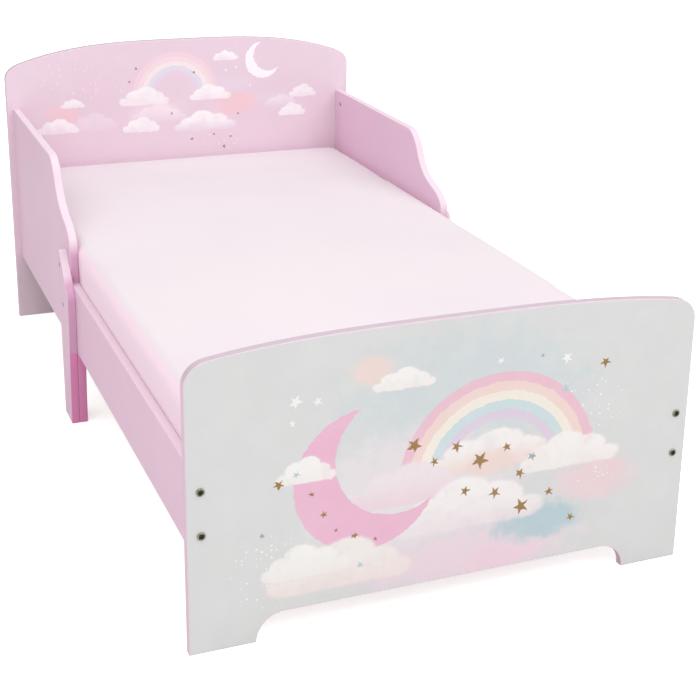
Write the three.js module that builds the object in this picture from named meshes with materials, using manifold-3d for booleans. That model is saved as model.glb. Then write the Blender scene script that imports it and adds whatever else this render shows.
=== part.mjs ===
// Toddler bed for a 1400 x 700 mm mattress, in millimetres, +Z up.
// The origin is on the floor at the middle of the bed. The footboard faces -Y and the headboard +Y.
// Left is -X and right is +X, as seen from the foot end.
// Each side is a guard panel at the head and a low rail at the foot, butted end to end in one plane.
// A leg plate screwed over the joint carries the middle of the side down to the floor.
import * as THREE from 'three';
import { mergeVertices } from 'three/addons/utils/BufferGeometryUtils.js';
import Module from 'manifold-3d';

const wasm = await Module();
wasm.setup();

// ---------------------------------------------------------------- driving dimensions
const mattressLength = 1400;
const mattressWidth = 700;
const mattressHeight = 97;
const mattressEndGap = 6;
const mattressSideGap = 12.5;

const boardThickness = 15;
const edgeRound = 1.5;

const headboardCrown = 605;
const headboardCrownDrop = 38;
const footboardCrown = 446;
const footboardCrownDrop = 17;
const crownPower = 3.2;
const cornerWidth = 32;
const cornerHeight = 34;
const footWidth = 96;
const archHeight = 41;

const panelInset = 12.5;
const panelBottom = 142;
const railTop = 268;
const guardTop = 470;
const guardShelf = 375;
const guardNose = 336;
const guardRiseRun = 178;
const sideJointY = 111;

const legFrontOverlap = 37;
const legRearOverlap = 42;
const legTaper = 18;
const legFrontHeight = 252;
const legTopHeight = 326;

const slatTop = 240;
const slatThickness = 12;
const slatWidth = 60;
const slatCount = 12;
const slatEndGap = 2.5;
const cleatWidth = 18;
const cleatHeight = 25;
const cleatEndGap = 6;
const strapWidth = 25;
const strapThickness = 1.5;
const strapOffset = 210;

const mattressCorner = 35;
const mattressEdge = 10;
const sheetThickness = 1.2;
const sheetHem = 45;

const boltLength = 50;
const boltRadius = 3;
const boltHeadRadius = 6;
const boltHeadHeight = 2.2;
const socketRadius = 2.3;
const socketDepth = 1.5;
const footBoltHeights = [180, 245];
const headBoltHeights = [180, 441];
const nutRadius = 5;
const nutDepth = 30;
const nutRecess = 1;
const nutCover = 2;
const nutSlotWidth = 1.4;
const nutSlotDepth = 1.5;

const dowelRadius = 4;
const dowelLength = 30;
const dowelCover = 5;
const footDowelHeight = 213;
const headDowelHeight = 320;

const screwHeadRadius = 4;
const screwHeadHeight = 3;
const screwRadius = 2;
const screwTip = 6;
const screwCover = 3;
const recessRadius = 1.8;
const recessDepth = 1.6;

const clearance = 0.3;
const boltClearance = 0.5;

// ---------------------------------------------------------------- derived planes
const halfInner = mattressLength / 2 + mattressEndGap;
const panelInner = mattressWidth / 2 + mattressSideGap;
const panelMiddle = panelInner + boardThickness / 2;
const panelOuter = panelInner + boardThickness;
const halfWidth = panelOuter + panelInset;
const slatBottom = slatTop - slatThickness;
const cleatTop = slatBottom;
const nutLength = boardThickness - nutRecess - nutCover;
const dowelInBoard = boardThickness - dowelCover;
const legScrewLength = 2 * boardThickness - screwCover;
const cleatScrewLength = cleatWidth + boardThickness - screwCover;

// ---------------------------------------------------------------- finishes
const paint = { color: 0xdcb9cd, roughness: 0.45, metalness: 0 };
const print = { color: 0xdddedc, roughness: 0.4, metalness: 0 };
const timber = { color: 0xd9b98c, roughness: 0.65, metalness: 0 };
const beech = { color: 0xc99b62, roughness: 0.6, metalness: 0 };
const webbing = { color: 0xe8e4dc, roughness: 0.9, metalness: 0 };
const bronze = { color: 0x8a6a4a, roughness: 0.4, metalness: 0.9 };
const zinc = { color: 0xb9bbbd, roughness: 0.35, metalness: 1 };
const ticking = { color: 0xf2efe9, roughness: 0.9, metalness: 0 };
const cotton = { color: 0xf5eaee, roughness: 0.85, metalness: 0 };

// ---------------------------------------------------------------- solids
function solid(geometry) {
  geometry.deleteAttribute('normal');
  geometry.deleteAttribute('uv');
  const merged = mergeVertices(geometry, 1e-4);
  const vertProperties = new Float32Array(merged.attributes.position.array);
  const triVerts = new Uint32Array(merged.index.array);
  return new wasm.Manifold(new wasm.Mesh({ numProp: 3, vertProperties, triVerts }));
}

function geometryOf(body) {
  const { vertProperties, triVerts } = body.getMesh();
  const geometry = new THREE.BufferGeometry();
  geometry.setAttribute('position', new THREE.BufferAttribute(vertProperties, 3));
  geometry.setIndex(new THREE.BufferAttribute(triVerts, 1));
  return geometry;
}

function mesh(name, body, finish) {
  const made = new THREE.Mesh(geometryOf(body), new THREE.MeshStandardMaterial(finish));
  made.name = name;
  return made;
}

// A drawn outline stands up across the bed (u is X), or along it (u is Y), or lies flat. v is up.
const across = new THREE.Matrix4().set(1, 0, 0, 0, 0, 0, -1, 0, 0, 1, 0, 0, 0, 0, 0, 1);
const along = new THREE.Matrix4().set(0, 0, 1, 0, 1, 0, 0, 0, 0, 1, 0, 0, 0, 0, 0, 1);
const flat = new THREE.Matrix4();

// A board with rounded edges: the outline, its thickness centred on the drawing plane.
function board(outline, thickness, round, standing, roundSteps = 2, curveSegments = 8) {
  const geometry = new THREE.ExtrudeGeometry(outline, {
    depth: thickness - 2 * round,
    bevelThickness: round,
    bevelSize: round,
    bevelOffset: -round,
    bevelSegments: roundSteps,
    curveSegments,
  });
  geometry.translate(0, 0, round - thickness / 2);
  geometry.applyMatrix4(standing);
  return geometry;
}

function box(x, y, z) {
  return new THREE.BoxGeometry(x, y, z);
}

function rectangle(u0, v0, u1, v1) {
  const shape = new THREE.Shape();
  shape.moveTo(u0, v0);
  shape.lineTo(u1, v0);
  shape.lineTo(u1, v1);
  shape.lineTo(u0, v1);
  shape.closePath();
  return shape;
}

// A turned piece: [radius, distance] points from the near end of its axis to the far end,
// pointing along +Y or, for the side fasteners, along +X or -X.
function turned(profile, direction, sides = 16) {
  const points = profile.map(([radius, distance]) => new THREE.Vector2(radius, distance));
  const geometry = new THREE.LatheGeometry(points, sides);
  if (direction === '+Y') return geometry;
  if (direction === '-Y') return geometry.rotateX(Math.PI);
  return geometry.rotateZ(direction === '+X' ? -Math.PI / 2 : Math.PI / 2);
}

function rod(radius, from, to, direction, sides) {
  return turned([[0, from], [radius, from], [radius, to], [0, to]], direction, sides);
}

function at(geometry, x, y, z) {
  return solid(geometry.translate(x, y, z));
}

// ---------------------------------------------------------------- headboard and footboard
// The crown falls away slowly from the middle and faster towards the corners.
// The feet stand either side of an arch whose ends are quarter circles.
function endBoardOutline(crown, drop) {
  const shoulder = halfWidth - cornerWidth;
  const cornerSteep = (drop * crownPower) / shoulder;
  const cornerTop = crown - drop;
  const crownSteps = 24;
  const archEnd = halfWidth - footWidth;
  const shape = new THREE.Shape();
  shape.moveTo(-halfWidth, 0);
  shape.lineTo(-archEnd, 0);
  shape.absarc(-archEnd + archHeight, 0, archHeight, Math.PI, Math.PI / 2, true);
  shape.absarc(archEnd - archHeight, 0, archHeight, Math.PI / 2, 0, true);
  shape.lineTo(halfWidth, 0);
  shape.lineTo(halfWidth, cornerTop - cornerHeight);
  const pull = cornerWidth * 0.5;
  shape.bezierCurveTo(
    halfWidth, cornerTop - cornerHeight * 0.45,
    shoulder + pull, cornerTop - pull * cornerSteep,
    shoulder, cornerTop,
  );
  for (let step = 1; step < crownSteps; step += 1) {
    const x = shoulder * (1 - (2 * step) / crownSteps);
    shape.lineTo(x, crown - drop * (Math.abs(x) / shoulder) ** crownPower);
  }
  shape.lineTo(-shoulder, cornerTop);
  shape.bezierCurveTo(
    -shoulder - pull, cornerTop - pull * cornerSteep,
    -halfWidth, cornerTop - cornerHeight * 0.45,
    -halfWidth, cornerTop - cornerHeight,
  );
  shape.closePath();
  return shape;
}

// end is -1 at the foot and +1 at the head.
function endBoard(name, end, finish) {
  const crown = end > 0 ? headboardCrown : footboardCrown;
  const drop = end > 0 ? headboardCrownDrop : footboardCrownDrop;
  const boltHeights = end > 0 ? headBoltHeights : footBoltHeights;
  const dowelHeight = end > 0 ? headDowelHeight : footDowelHeight;
  const middle = end * (halfInner + boardThickness / 2);
  let body = at(board(endBoardOutline(crown, drop), boardThickness, edgeRound, across), 0, middle, 0);
  for (const side of [-1, 1]) {
    for (const height of boltHeights) {
      const hole = rod(boltRadius + boltClearance, -boardThickness, boardThickness, '+Y');
      body = body.subtract(at(hole, side * panelMiddle, middle, height));
    }
    const socket = rod(dowelRadius + clearance, -1, dowelInBoard + clearance, end > 0 ? '+Y' : '-Y');
    body = body.subtract(at(socket, side * panelMiddle, end * halfInner, dowelHeight));
  }
  return mesh(name, body, finish);
}

// ---------------------------------------------------------------- side panels
function guardOutline() {
  const rise = guardTop - guardShelf;
  const front = sideJointY;
  const run = guardRiseRun;
  const shelfY = front + run * 0.27;
  const waistY = front + run * 0.71;
  const waistZ = guardShelf + rise * 0.62;
  const shape = new THREE.Shape();
  shape.moveTo(front, panelBottom);
  shape.lineTo(halfInner, panelBottom);
  shape.lineTo(halfInner, guardTop);
  shape.lineTo(front + run, guardTop);
  shape.bezierCurveTo(
    front + run * 0.87, guardTop,
    front + run * 0.76, guardShelf + rise * 0.81,
    waistY, waistZ,
  );
  shape.bezierCurveTo(
    front + run * 0.6, guardShelf + rise * 0.23,
    front + run * 0.46, guardShelf + rise * 0.1,
    shelfY, guardShelf,
  );
  shape.bezierCurveTo(
    front + run * 0.13, guardShelf - (guardShelf - guardNose) * 0.16,
    front, guardNose + (guardShelf - guardNose) * 0.5,
    front, guardNose,
  );
  shape.closePath();
  return shape;
}

// A countersunk wood screw from its head, at 0, to its point. Its hole is the same, grown all round.
function screwProfile(length, grow) {
  const profile = [
    [0, -grow * 3],
    [screwHeadRadius + grow, -grow * 3],
    [screwHeadRadius + grow, 0.4],
    [screwRadius + grow, screwHeadHeight],
    [screwRadius + grow, length - screwTip],
  ];
  if (grow > 0) profile.push([grow, length + grow]);
  return [...profile, [0, length + grow]];
}

// The way into the bed from a side: towards -X on the right and +X on the left.
const inward = (side) => (side > 0 ? '-X' : '+X');
const outward = (side) => (side > 0 ? '+X' : '-X');

function cleatScrewPlaces() {
  const reach = halfInner - 90;
  return [-reach, sideJointY - 100, halfInner - 180];
}

function legScrewPlaces() {
  return [[sideJointY + 10, panelBottom + 84], [sideJointY + 26, legTopHeight - 28]];
}

const cleatScrewHeight = cleatTop - cleatHeight / 2;

// The holes that a side panel takes: bolt and cross nut at one end, dowel, leg screws, cleat screws.
function panelHoles(body, side, end, boltHeights, dowelHeight) {
  const into = end > 0 ? '-Y' : '+Y';
  for (const height of boltHeights) {
    const reach = boltLength - boardThickness + 2;
    const hole = rod(boltRadius + boltClearance, -1, reach, into);
    body = body.subtract(at(hole, side * panelMiddle, end * halfInner, height));
    const pocketEnd = nutRecess + nutLength + clearance;
    const pocket = rod(nutRadius + clearance, -1, pocketEnd, outward(side));
    body = body.subtract(at(pocket, side * panelInner, end * (halfInner - nutDepth), height));
  }
  const dowelReach = dowelLength - dowelInBoard + clearance;
  const socket = rod(dowelRadius + clearance, -1, dowelReach, into);
  body = body.subtract(at(socket, side * panelMiddle, end * halfInner, dowelHeight));
  const screwReach = cleatScrewLength - cleatWidth + clearance;
  for (const y of cleatScrewPlaces()) {
    if (y > sideJointY === end > 0) {
      const hole = rod(screwRadius + clearance, -1, screwReach, outward(side));
      body = body.subtract(at(hole, side * panelInner, y, cleatScrewHeight));
    }
  }
  return body;
}

function guardPanel(name, side) {
  let body = at(board(guardOutline(), boardThickness, edgeRound, along), side * panelMiddle, 0, 0);
  body = panelHoles(body, side, 1, headBoltHeights, headDowelHeight);
  for (const [y, z] of legScrewPlaces()) {
    const reach = legScrewLength - boardThickness + clearance;
    const hole = rod(screwRadius + clearance, -1, reach, inward(side));
    body = body.subtract(at(hole, side * panelOuter, y, z));
  }
  return mesh(name, body, paint);
}

function sideRail(name, side) {
  const outline = rectangle(-halfInner, panelBottom, sideJointY, railTop);
  const body = at(board(outline, boardThickness, edgeRound, along), side * panelMiddle, 0, 0);
  return mesh(name, panelHoles(body, side, -1, footBoltHeights, footDowelHeight), paint);
}

// ---------------------------------------------------------------- middle legs
// The plate's front edge leans in towards the floor, and its top slants up to the guard panel.
function legPlate(name, side) {
  const front = sideJointY - legFrontOverlap;
  const rear = sideJointY + legRearOverlap;
  const slant = legTopHeight - legFrontHeight;
  const shape = new THREE.Shape();
  shape.moveTo(front + legTaper, 0);
  shape.lineTo(rear, 0);
  shape.lineTo(rear, legTopHeight - 20);
  shape.quadraticCurveTo(rear, legTopHeight, rear - 14, legTopHeight);
  shape.quadraticCurveTo(rear - 20, legTopHeight, rear - 26, legTopHeight - slant * 0.16);
  shape.lineTo(front + 16, legFrontHeight + slant * 0.24);
  shape.quadraticCurveTo(front, legFrontHeight + slant * 0.08, front, legFrontHeight - 8);
  shape.closePath();
  const place = side * (panelOuter + boardThickness / 2);
  let body = at(board(shape, boardThickness, edgeRound, along), place, 0, 0);
  const hole = () => turned(screwProfile(legScrewLength, clearance), inward(side));
  for (const [y, z] of legScrewPlaces()) {
    body = body.subtract(at(hole(), side * (panelOuter + boardThickness), y, z));
  }
  return mesh(name, body, paint);
}

// The block behind the plate fills the space under the panels and carries their bottom edges.
function legBlock(name, side) {
  const front = sideJointY - legFrontOverlap;
  const rear = sideJointY + legRearOverlap;
  const lean = legTaper / (legFrontHeight - 8);
  const shape = new THREE.Shape();
  shape.moveTo(front + legTaper, 0);
  shape.lineTo(rear, 0);
  shape.lineTo(rear, panelBottom);
  shape.lineTo(front + legTaper - lean * panelBottom, panelBottom);
  shape.closePath();
  return mesh(name, at(board(shape, boardThickness, edgeRound, along), side * panelMiddle, 0, 0), paint);
}

// ---------------------------------------------------------------- slatted base
function cleat(name, side) {
  const reach = halfInner - cleatEndGap;
  const middle = side * (panelInner - cleatWidth / 2);
  const outline = rectangle(-reach, cleatTop - cleatHeight, reach, cleatTop);
  let body = at(board(outline, cleatWidth, 1, along, 1), middle, 0, 0);
  for (const y of cleatScrewPlaces()) {
    const hole = turned(screwProfile(cleatScrewLength, clearance), outward(side));
    body = body.subtract(at(hole, side * (panelInner - cleatWidth), y, cleatScrewHeight));
  }
  return mesh(name, body, timber);
}

function slat(index) {
  const reach = panelInner - slatEndGap;
  const firstY = -mattressLength / 2 + slatWidth / 2 + 10;
  const pitch = (-2 * firstY) / (slatCount - 1);
  const outline = rectangle(-reach, -slatWidth / 2, reach, slatWidth / 2);
  const geometry = board(outline, slatThickness, 2, flat);
  const name = `slat_${String(index + 1).padStart(2, '0')}`;
  return mesh(name, at(geometry, 0, firstY + index * pitch, slatTop - slatThickness / 2), timber);
}

function strap(name, side) {
  const geometry = box(strapWidth, mattressLength - 2 * cleatEndGap - slatWidth / 2, strapThickness);
  return mesh(name, at(geometry, side * strapOffset, 0, slatBottom - strapThickness / 2), webbing);
}

// ---------------------------------------------------------------- fasteners
// x, y and z are the middle of the face that the head rests on.
function bolt(name, end, x, z) {
  const outer = end * (halfInner + boardThickness);
  const profile = [
    [0, -boltHeadHeight],
    [boltHeadRadius - 1, -boltHeadHeight],
    [boltHeadRadius, -boltHeadHeight + 0.9],
    [boltHeadRadius, 0],
    [boltRadius, 0],
    [boltRadius, boltLength - 1],
    [boltRadius - 1, boltLength],
    [0, boltLength],
  ];
  const into = end > 0 ? '-Y' : '+Y';
  const socket = rod(socketRadius, -boltHeadHeight - 1, socketDepth - boltHeadHeight, into, 6);
  const body = at(turned(profile, into), x, outer, z).subtract(at(socket, x, outer, z));
  return mesh(name, body, bronze);
}

function barrelNut(name, side, end, z) {
  const mouth = side * panelInner;
  const y = end * (halfInner - nutDepth);
  const body = at(rod(nutRadius, nutRecess, nutRecess + nutLength, outward(side)), mouth, y, z);
  const threadHole = rod(boltRadius + clearance, -nutRadius * 2, nutRadius * 2, '+Y');
  const thread = at(threadHole, side * panelMiddle, y, z);
  const slotX = mouth + side * (nutRecess + nutSlotDepth / 2 - 0.5);
  const slot = at(box(nutSlotDepth + 1, nutRadius * 3, nutSlotWidth), slotX, y, z);
  return mesh(name, body.subtract(thread).subtract(slot), zinc);
}

function dowel(name, side, end, z) {
  const chamfer = 1;
  const profile = [
    [0, -dowelInBoard],
    [dowelRadius - chamfer, -dowelInBoard],
    [dowelRadius, -dowelInBoard + chamfer],
    [dowelRadius, dowelLength - dowelInBoard - chamfer],
    [dowelRadius - chamfer, dowelLength - dowelInBoard],
    [0, dowelLength - dowelInBoard],
  ];
  const body = at(turned(profile, end > 0 ? '-Y' : '+Y', 12), side * panelMiddle, end * halfInner, z);
  return mesh(name, body, beech);
}

// A countersunk wood screw with a cross recess, its head flush with the plane at x.
function screw(name, direction, length, x, y, z) {
  const shank = at(turned(screwProfile(length, 0), direction, 12), x, y, z);
  const bar = (high, wide) => at(box(recessDepth * 2, wide, high), x, y, z);
  const cross = bar(recessRadius * 2, 0.7).add(bar(0.7, recessRadius * 2));
  return mesh(name, shank.subtract(cross), zinc);
}

// ---------------------------------------------------------------- mattress and fitted sheet
function softBlock(length, width, low, high, corner, edge) {
  const x = width / 2;
  const y = length / 2;
  const shape = new THREE.Shape();
  shape.moveTo(-x + corner, -y);
  shape.lineTo(x - corner, -y);
  shape.absarc(x - corner, -y + corner, corner, -Math.PI / 2, 0, false);
  shape.absarc(x - corner, y - corner, corner, 0, Math.PI / 2, false);
  shape.absarc(-x + corner, y - corner, corner, Math.PI / 2, Math.PI, false);
  shape.absarc(-x + corner, -y + corner, corner, Math.PI, Math.PI * 1.5, false);
  shape.closePath();
  return at(board(shape, high - low, edge, flat, 2, 4), 0, 0, (low + high) / 2);
}

const sheetBottom = slatTop + clearance;
const mattressBottom = sheetBottom + sheetThickness + clearance;
const mattressTop = mattressBottom + mattressHeight;

function mattress() {
  const body = softBlock(
    mattressLength, mattressWidth, mattressBottom, mattressTop, mattressCorner, mattressEdge,
  );
  return mesh('mattress', body, ticking);
}

// The sheet wraps the mattress and ends in a hem under it, so that its underside is open.
function fittedSheet() {
  const grow = (amount) => softBlock(
    mattressLength + 2 * amount,
    mattressWidth + 2 * amount,
    mattressBottom - amount,
    mattressTop + amount,
    mattressCorner + amount,
    mattressEdge + amount,
  );
  const mouthLength = mattressLength - 2 * sheetHem;
  const mouthWidth = mattressWidth - 2 * sheetHem;
  const mouth = softBlock(
    mouthLength, mouthWidth, sheetBottom - 5, mattressBottom + 5, mattressCorner, 1,
  );
  const body = grow(clearance + sheetThickness).subtract(grow(clearance)).subtract(mouth);
  return mesh('fitted_sheet', body, cotton);
}

// ---------------------------------------------------------------- the bed
const bed = new THREE.Group();
bed.add(endBoard('footboard', -1, print));
bed.add(endBoard('headboard', 1, paint));

for (const [hand, side] of [['left', -1], ['right', 1]]) {
  const sideParts = new THREE.Group();
  sideParts.add(guardPanel(`guard_panel_${hand}`, side));
  sideParts.add(sideRail(`side_rail_${hand}`, side));
  sideParts.add(legPlate(`leg_plate_${hand}`, side));
  sideParts.add(legBlock(`leg_block_${hand}`, side));
  sideParts.add(cleat(`slat_cleat_${hand}`, side));
  for (const [place, end, heights] of [['foot', -1, footBoltHeights], ['head', 1, headBoltHeights]]) {
    heights.forEach((z, index) => {
      const level = index === 0 ? 'lower' : 'upper';
      sideParts.add(bolt(`bolt_${place}_${hand}_${level}`, end, side * panelMiddle, z));
      sideParts.add(barrelNut(`barrel_nut_${place}_${hand}_${level}`, side, end, z));
    });
    const dowelHeight = end > 0 ? headDowelHeight : footDowelHeight;
    sideParts.add(dowel(`dowel_${place}_${hand}`, side, end, dowelHeight));
  }
  legScrewPlaces().forEach(([y, z], index) => {
    const name = `leg_screw_${hand}_${index === 0 ? 'lower' : 'upper'}`;
    const x = side * (panelOuter + boardThickness);
    sideParts.add(screw(name, inward(side), legScrewLength, x, y, z));
  });
  cleatScrewPlaces().forEach((y, index) => {
    const x = side * (panelInner - cleatWidth);
    const name = `cleat_screw_${hand}_${index + 1}`;
    sideParts.add(screw(name, outward(side), cleatScrewLength, x, y, cleatScrewHeight));
  });
  bed.add(sideParts);
}

const base = new THREE.Group();
for (let index = 0; index < slatCount; index += 1) base.add(slat(index));
base.add(strap('slat_strap_left', -1));
base.add(strap('slat_strap_right', 1));
bed.add(base);

const bedding = new THREE.Group();
bedding.add(mattress());
bedding.add(fittedSheet());
bed.add(bedding);

export default bed;
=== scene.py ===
import math

import bmesh
import bpy
import numpy as np
from mathutils import Matrix, Vector, noise
from mathutils.bvhtree import BVHTree


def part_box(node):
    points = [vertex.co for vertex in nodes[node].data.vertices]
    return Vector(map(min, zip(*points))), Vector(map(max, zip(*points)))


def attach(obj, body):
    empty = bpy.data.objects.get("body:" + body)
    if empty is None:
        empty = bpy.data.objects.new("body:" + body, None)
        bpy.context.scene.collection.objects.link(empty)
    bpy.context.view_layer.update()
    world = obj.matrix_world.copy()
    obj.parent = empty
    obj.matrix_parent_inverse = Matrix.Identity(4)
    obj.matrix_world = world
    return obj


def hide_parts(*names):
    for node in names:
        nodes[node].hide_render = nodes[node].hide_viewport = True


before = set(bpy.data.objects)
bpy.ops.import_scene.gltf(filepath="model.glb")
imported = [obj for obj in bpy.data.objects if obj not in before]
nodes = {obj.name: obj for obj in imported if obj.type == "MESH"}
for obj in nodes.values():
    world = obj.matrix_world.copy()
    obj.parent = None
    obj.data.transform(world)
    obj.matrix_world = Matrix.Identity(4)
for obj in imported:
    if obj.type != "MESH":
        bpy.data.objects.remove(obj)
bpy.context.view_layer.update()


# ---------------------------------------------------------------------------
# Headboard
# One 15 mm fibreboard panel with a crowned top and an arch sawn between its feet.
# The face is printed with a night sky in soft pinks, the back and edges are sprayed,
# and a satin lacquer covers the whole board.
# ---------------------------------------------------------------------------


def srgb(red, green, blue):
    """A colour as it is picked from a paint card, 0 to 255, as the linear RGBA that shaders use."""
    share = [c / 255 for c in (red, green, blue)]
    linear = [c / 12.92 if c <= 0.04045 else ((c + 0.055) / 1.055) ** 2.4 for c in share]
    return (*linear, 1.0)


def put(tree, socket, value):
    """Links another node's output to a socket, or sets the socket's own value."""
    if isinstance(value, bpy.types.NodeSocket):
        tree.links.new(value, socket)
    else:
        socket.default_value = value


def add(tree, kind, *values, **options):
    """Adds a shader node, sets its options, and fills its sockets in order."""
    made = tree.nodes.new("ShaderNode" + kind)
    for option, value in options.items():
        setattr(made, option, value)
    for socket, value in zip(made.inputs, values):
        put(tree, socket, value)
    return made


def calc(tree, operation, *values):
    return add(tree, "Math", *values, operation=operation).outputs[0]


def vector_calc(tree, operation, *values):
    made = add(tree, "VectorMath", *values, operation=operation)
    gives_number = operation in ("LENGTH", "DISTANCE", "DOT_PRODUCT")
    return made.outputs["Value" if gives_number else "Vector"]


def scaled(tree, vector, factor):
    made = add(tree, "VectorMath", vector, operation="SCALE")
    put(tree, made.inputs["Scale"], factor)
    return made.outputs["Vector"]


def ramp(tree, value, start, end, low=0.0, high=1.0):
    """Smoothly from low at start to high at end."""
    made = add(tree, "MapRange", value, start, end, low, high, interpolation_type="SMOOTHSTEP")
    return made.outputs[0]


def laid_over(tree, share, under, over):
    """The colour over laid on the colour under, by share."""
    made = tree.nodes.new("ShaderNodeMix")
    made.data_type = "RGBA"
    put(tree, made.inputs[0], share)
    put(tree, made.inputs[6], under)
    put(tree, made.inputs[7], over)
    return made.outputs[2]


def grain_noise(tree, point, scale, detail=2.0, roughness=0.5):
    made = tree.nodes.new("ShaderNodeTexNoise")
    put(tree, made.inputs["Vector"], point)
    made.inputs["Scale"].default_value = scale
    made.inputs["Detail"].default_value = detail
    made.inputs["Roughness"].default_value = roughness
    return made.outputs


def node_group(name, inputs, outputs):
    """An empty shader node group with these named sockets, each (name, kind)."""
    tree = bpy.data.node_groups.new(name, "ShaderNodeTree")
    for in_out, sockets in (("INPUT", inputs), ("OUTPUT", outputs)):
        for label, kind in sockets:
            tree.interface.new_socket(label, in_out=in_out, socket_type="NodeSocket" + kind)
    return tree, tree.nodes.new("NodeGroupInput").outputs, tree.nodes.new("NodeGroupOutput").inputs


def place(tree, made_group, values):
    """Places a node group in a material, with its own values, and gives its outputs."""
    made = tree.nodes.new("ShaderNodeGroup")
    made.node_tree = made_group
    for label, value in values.items():
        put(tree, made.inputs[label], value)
    return made.outputs


def new_material(name):
    """A material, with its node tree and its shader."""
    made = bpy.data.materials.new(name)
    made.use_nodes = True
    return made, made.node_tree, made.node_tree.nodes["Principled BSDF"]


def emboss(tree, shader, height, strength, distance):
    """Raises the surface by height, as far as distance, in metres."""
    bump = tree.nodes.new("ShaderNodeBump")
    bump.inputs["Strength"].default_value = strength
    bump.inputs["Distance"].default_value = distance
    put(tree, bump.inputs["Height"], height)
    put(tree, shader.inputs["Normal"], bump.outputs[0])


# Satin lacquer on fibreboard: orange peel on the faces, a rougher film on the sawn edges in their edge paint,
# and a painted highlight along the arrises: a paler line, patchy with the scuffs.
lacquer, given, out = node_group(
    "lacquer",
    [
        ("Colour", "Color"),
        ("Edge Colour", "Color"),
        ("Point", "Vector"),
        ("Normal", "Vector"),
        ("Across", "Vector"),
        ("Arris Highlight", "Float"),
    ],
    [("Colour", "Color"), ("Roughness", "Float"), ("Height", "Float")],
)
facing = calc(lacquer, "ABSOLUTE", vector_calc(lacquer, "DOT_PRODUCT", given["Normal"], given["Across"]))
sawn_edge = ramp(lacquer, facing, 0.75, 0.35)
facing_squared = calc(lacquer, "MULTIPLY", facing, facing)
arris = calc(lacquer, "MULTIPLY", facing_squared, calc(lacquer, "SUBTRACT", 1.0, facing_squared))
cloudy = grain_noise(lacquer, given["Point"], 5.0, 3.0)[0]
scuffs_and_highlight_patches = ramp(lacquer, grain_noise(lacquer, given["Point"], 140.0, 4.0)[0], 0.52, 0.72)
peel = grain_noise(lacquer, given["Point"], 420.0, 2.0)[0]
fibres = grain_noise(lacquer, given["Point"], 1300.0, 3.0)[0]
tone = laid_over(lacquer, sawn_edge, given["Colour"], given["Edge Colour"])
tone = laid_over(lacquer, ramp(lacquer, cloudy, 0.3, 0.8, 0.0, 0.05), tone, srgb(205, 160, 188))
# Painted highlight: a paler line along the arrises, stronger where scuffed.
arris_highlight = calc(lacquer, "MULTIPLY", arris, calc(lacquer, "ADD", scuffs_and_highlight_patches, 1.0))
arris_highlight_colour = laid_over(lacquer, 0.35, given["Edge Colour"], srgb(252, 246, 250))
tone = laid_over(lacquer, calc(lacquer, "MULTIPLY", arris_highlight, given["Arris Highlight"]), tone, arris_highlight_colour)
put(lacquer, out["Colour"], tone)
gloss = calc(lacquer, "MULTIPLY_ADD", sawn_edge, 0.14, ramp(lacquer, cloudy, 0.2, 0.8, 0.36, 0.44))
put(lacquer, out["Roughness"], calc(lacquer, "MULTIPLY_ADD", scuffs_and_highlight_patches, 0.04, gloss))
raised_fibres = calc(lacquer, "MULTIPLY", fibres, sawn_edge)
put(lacquer, out["Height"], calc(lacquer, "MULTIPLY_ADD", raised_fibres, 0.7, peel))


# Printed motifs. Each works in millimetres on the board's face: x to the right, z up.
def within(tree, given):
    """The point as a share of the motif's size from its centre."""
    from_middle = vector_calc(tree, "SUBTRACT", given["Point"], given["Centre"])
    return vector_calc(tree, "DIVIDE", from_middle, given["Size"])


cloud_print, given, out = node_group(
    "cloud_print",
    [("Point", "Vector"), ("Centre", "Vector"), ("Size", "Vector")],
    [("Mask", "Float"), ("Shade", "Float")],
)
place_in_cloud = within(cloud_print, given)
split = add(cloud_print, "SeparateXYZ", place_in_cloud).outputs
BASE_HALF_WIDTH = 0.78
BASE_HALF_HEIGHT = 0.2
beside_base = calc(cloud_print, "SUBTRACT", calc(cloud_print, "ABSOLUTE", split[0]), BASE_HALF_WIDTH)
from_axis = calc(cloud_print, "ABSOLUTE", calc(cloud_print, "SUBTRACT", split[1], BASE_HALF_HEIGHT))
above_base = calc(cloud_print, "SUBTRACT", from_axis, BASE_HALF_HEIGHT)
outside = calc(cloud_print, "MAXIMUM", beside_base, above_base)
for lobe_x, lobe_z, lobe_radius in (
    (-0.78, 0.22, 0.22),
    (0.80, 0.20, 0.20),
    (-0.36, 0.46, 0.36),
    (0.10, 0.60, 0.40),
    (0.52, 0.40, 0.30),
):
    distance = vector_calc(cloud_print, "DISTANCE", place_in_cloud, (lobe_x, lobe_z, 0.0))
    outside = calc(cloud_print, "MINIMUM", outside, calc(cloud_print, "SUBTRACT", distance, lobe_radius))
pooled = grain_noise(cloud_print, given["Point"], 0.03, 5.0, 0.65)[0]
covered = ramp(cloud_print, pooled, 0.28, 0.56, 0.62, 1.0)
cloud = ramp(cloud_print, outside, 0.04, -0.05)
put(cloud_print, out["Mask"], calc(cloud_print, "MULTIPLY", cloud, covered))
lit = calc(cloud_print, "MULTIPLY_ADD", pooled, 0.5, split[1])
put(cloud_print, out["Shade"], ramp(cloud_print, lit, 0.1, 1.0))

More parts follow.
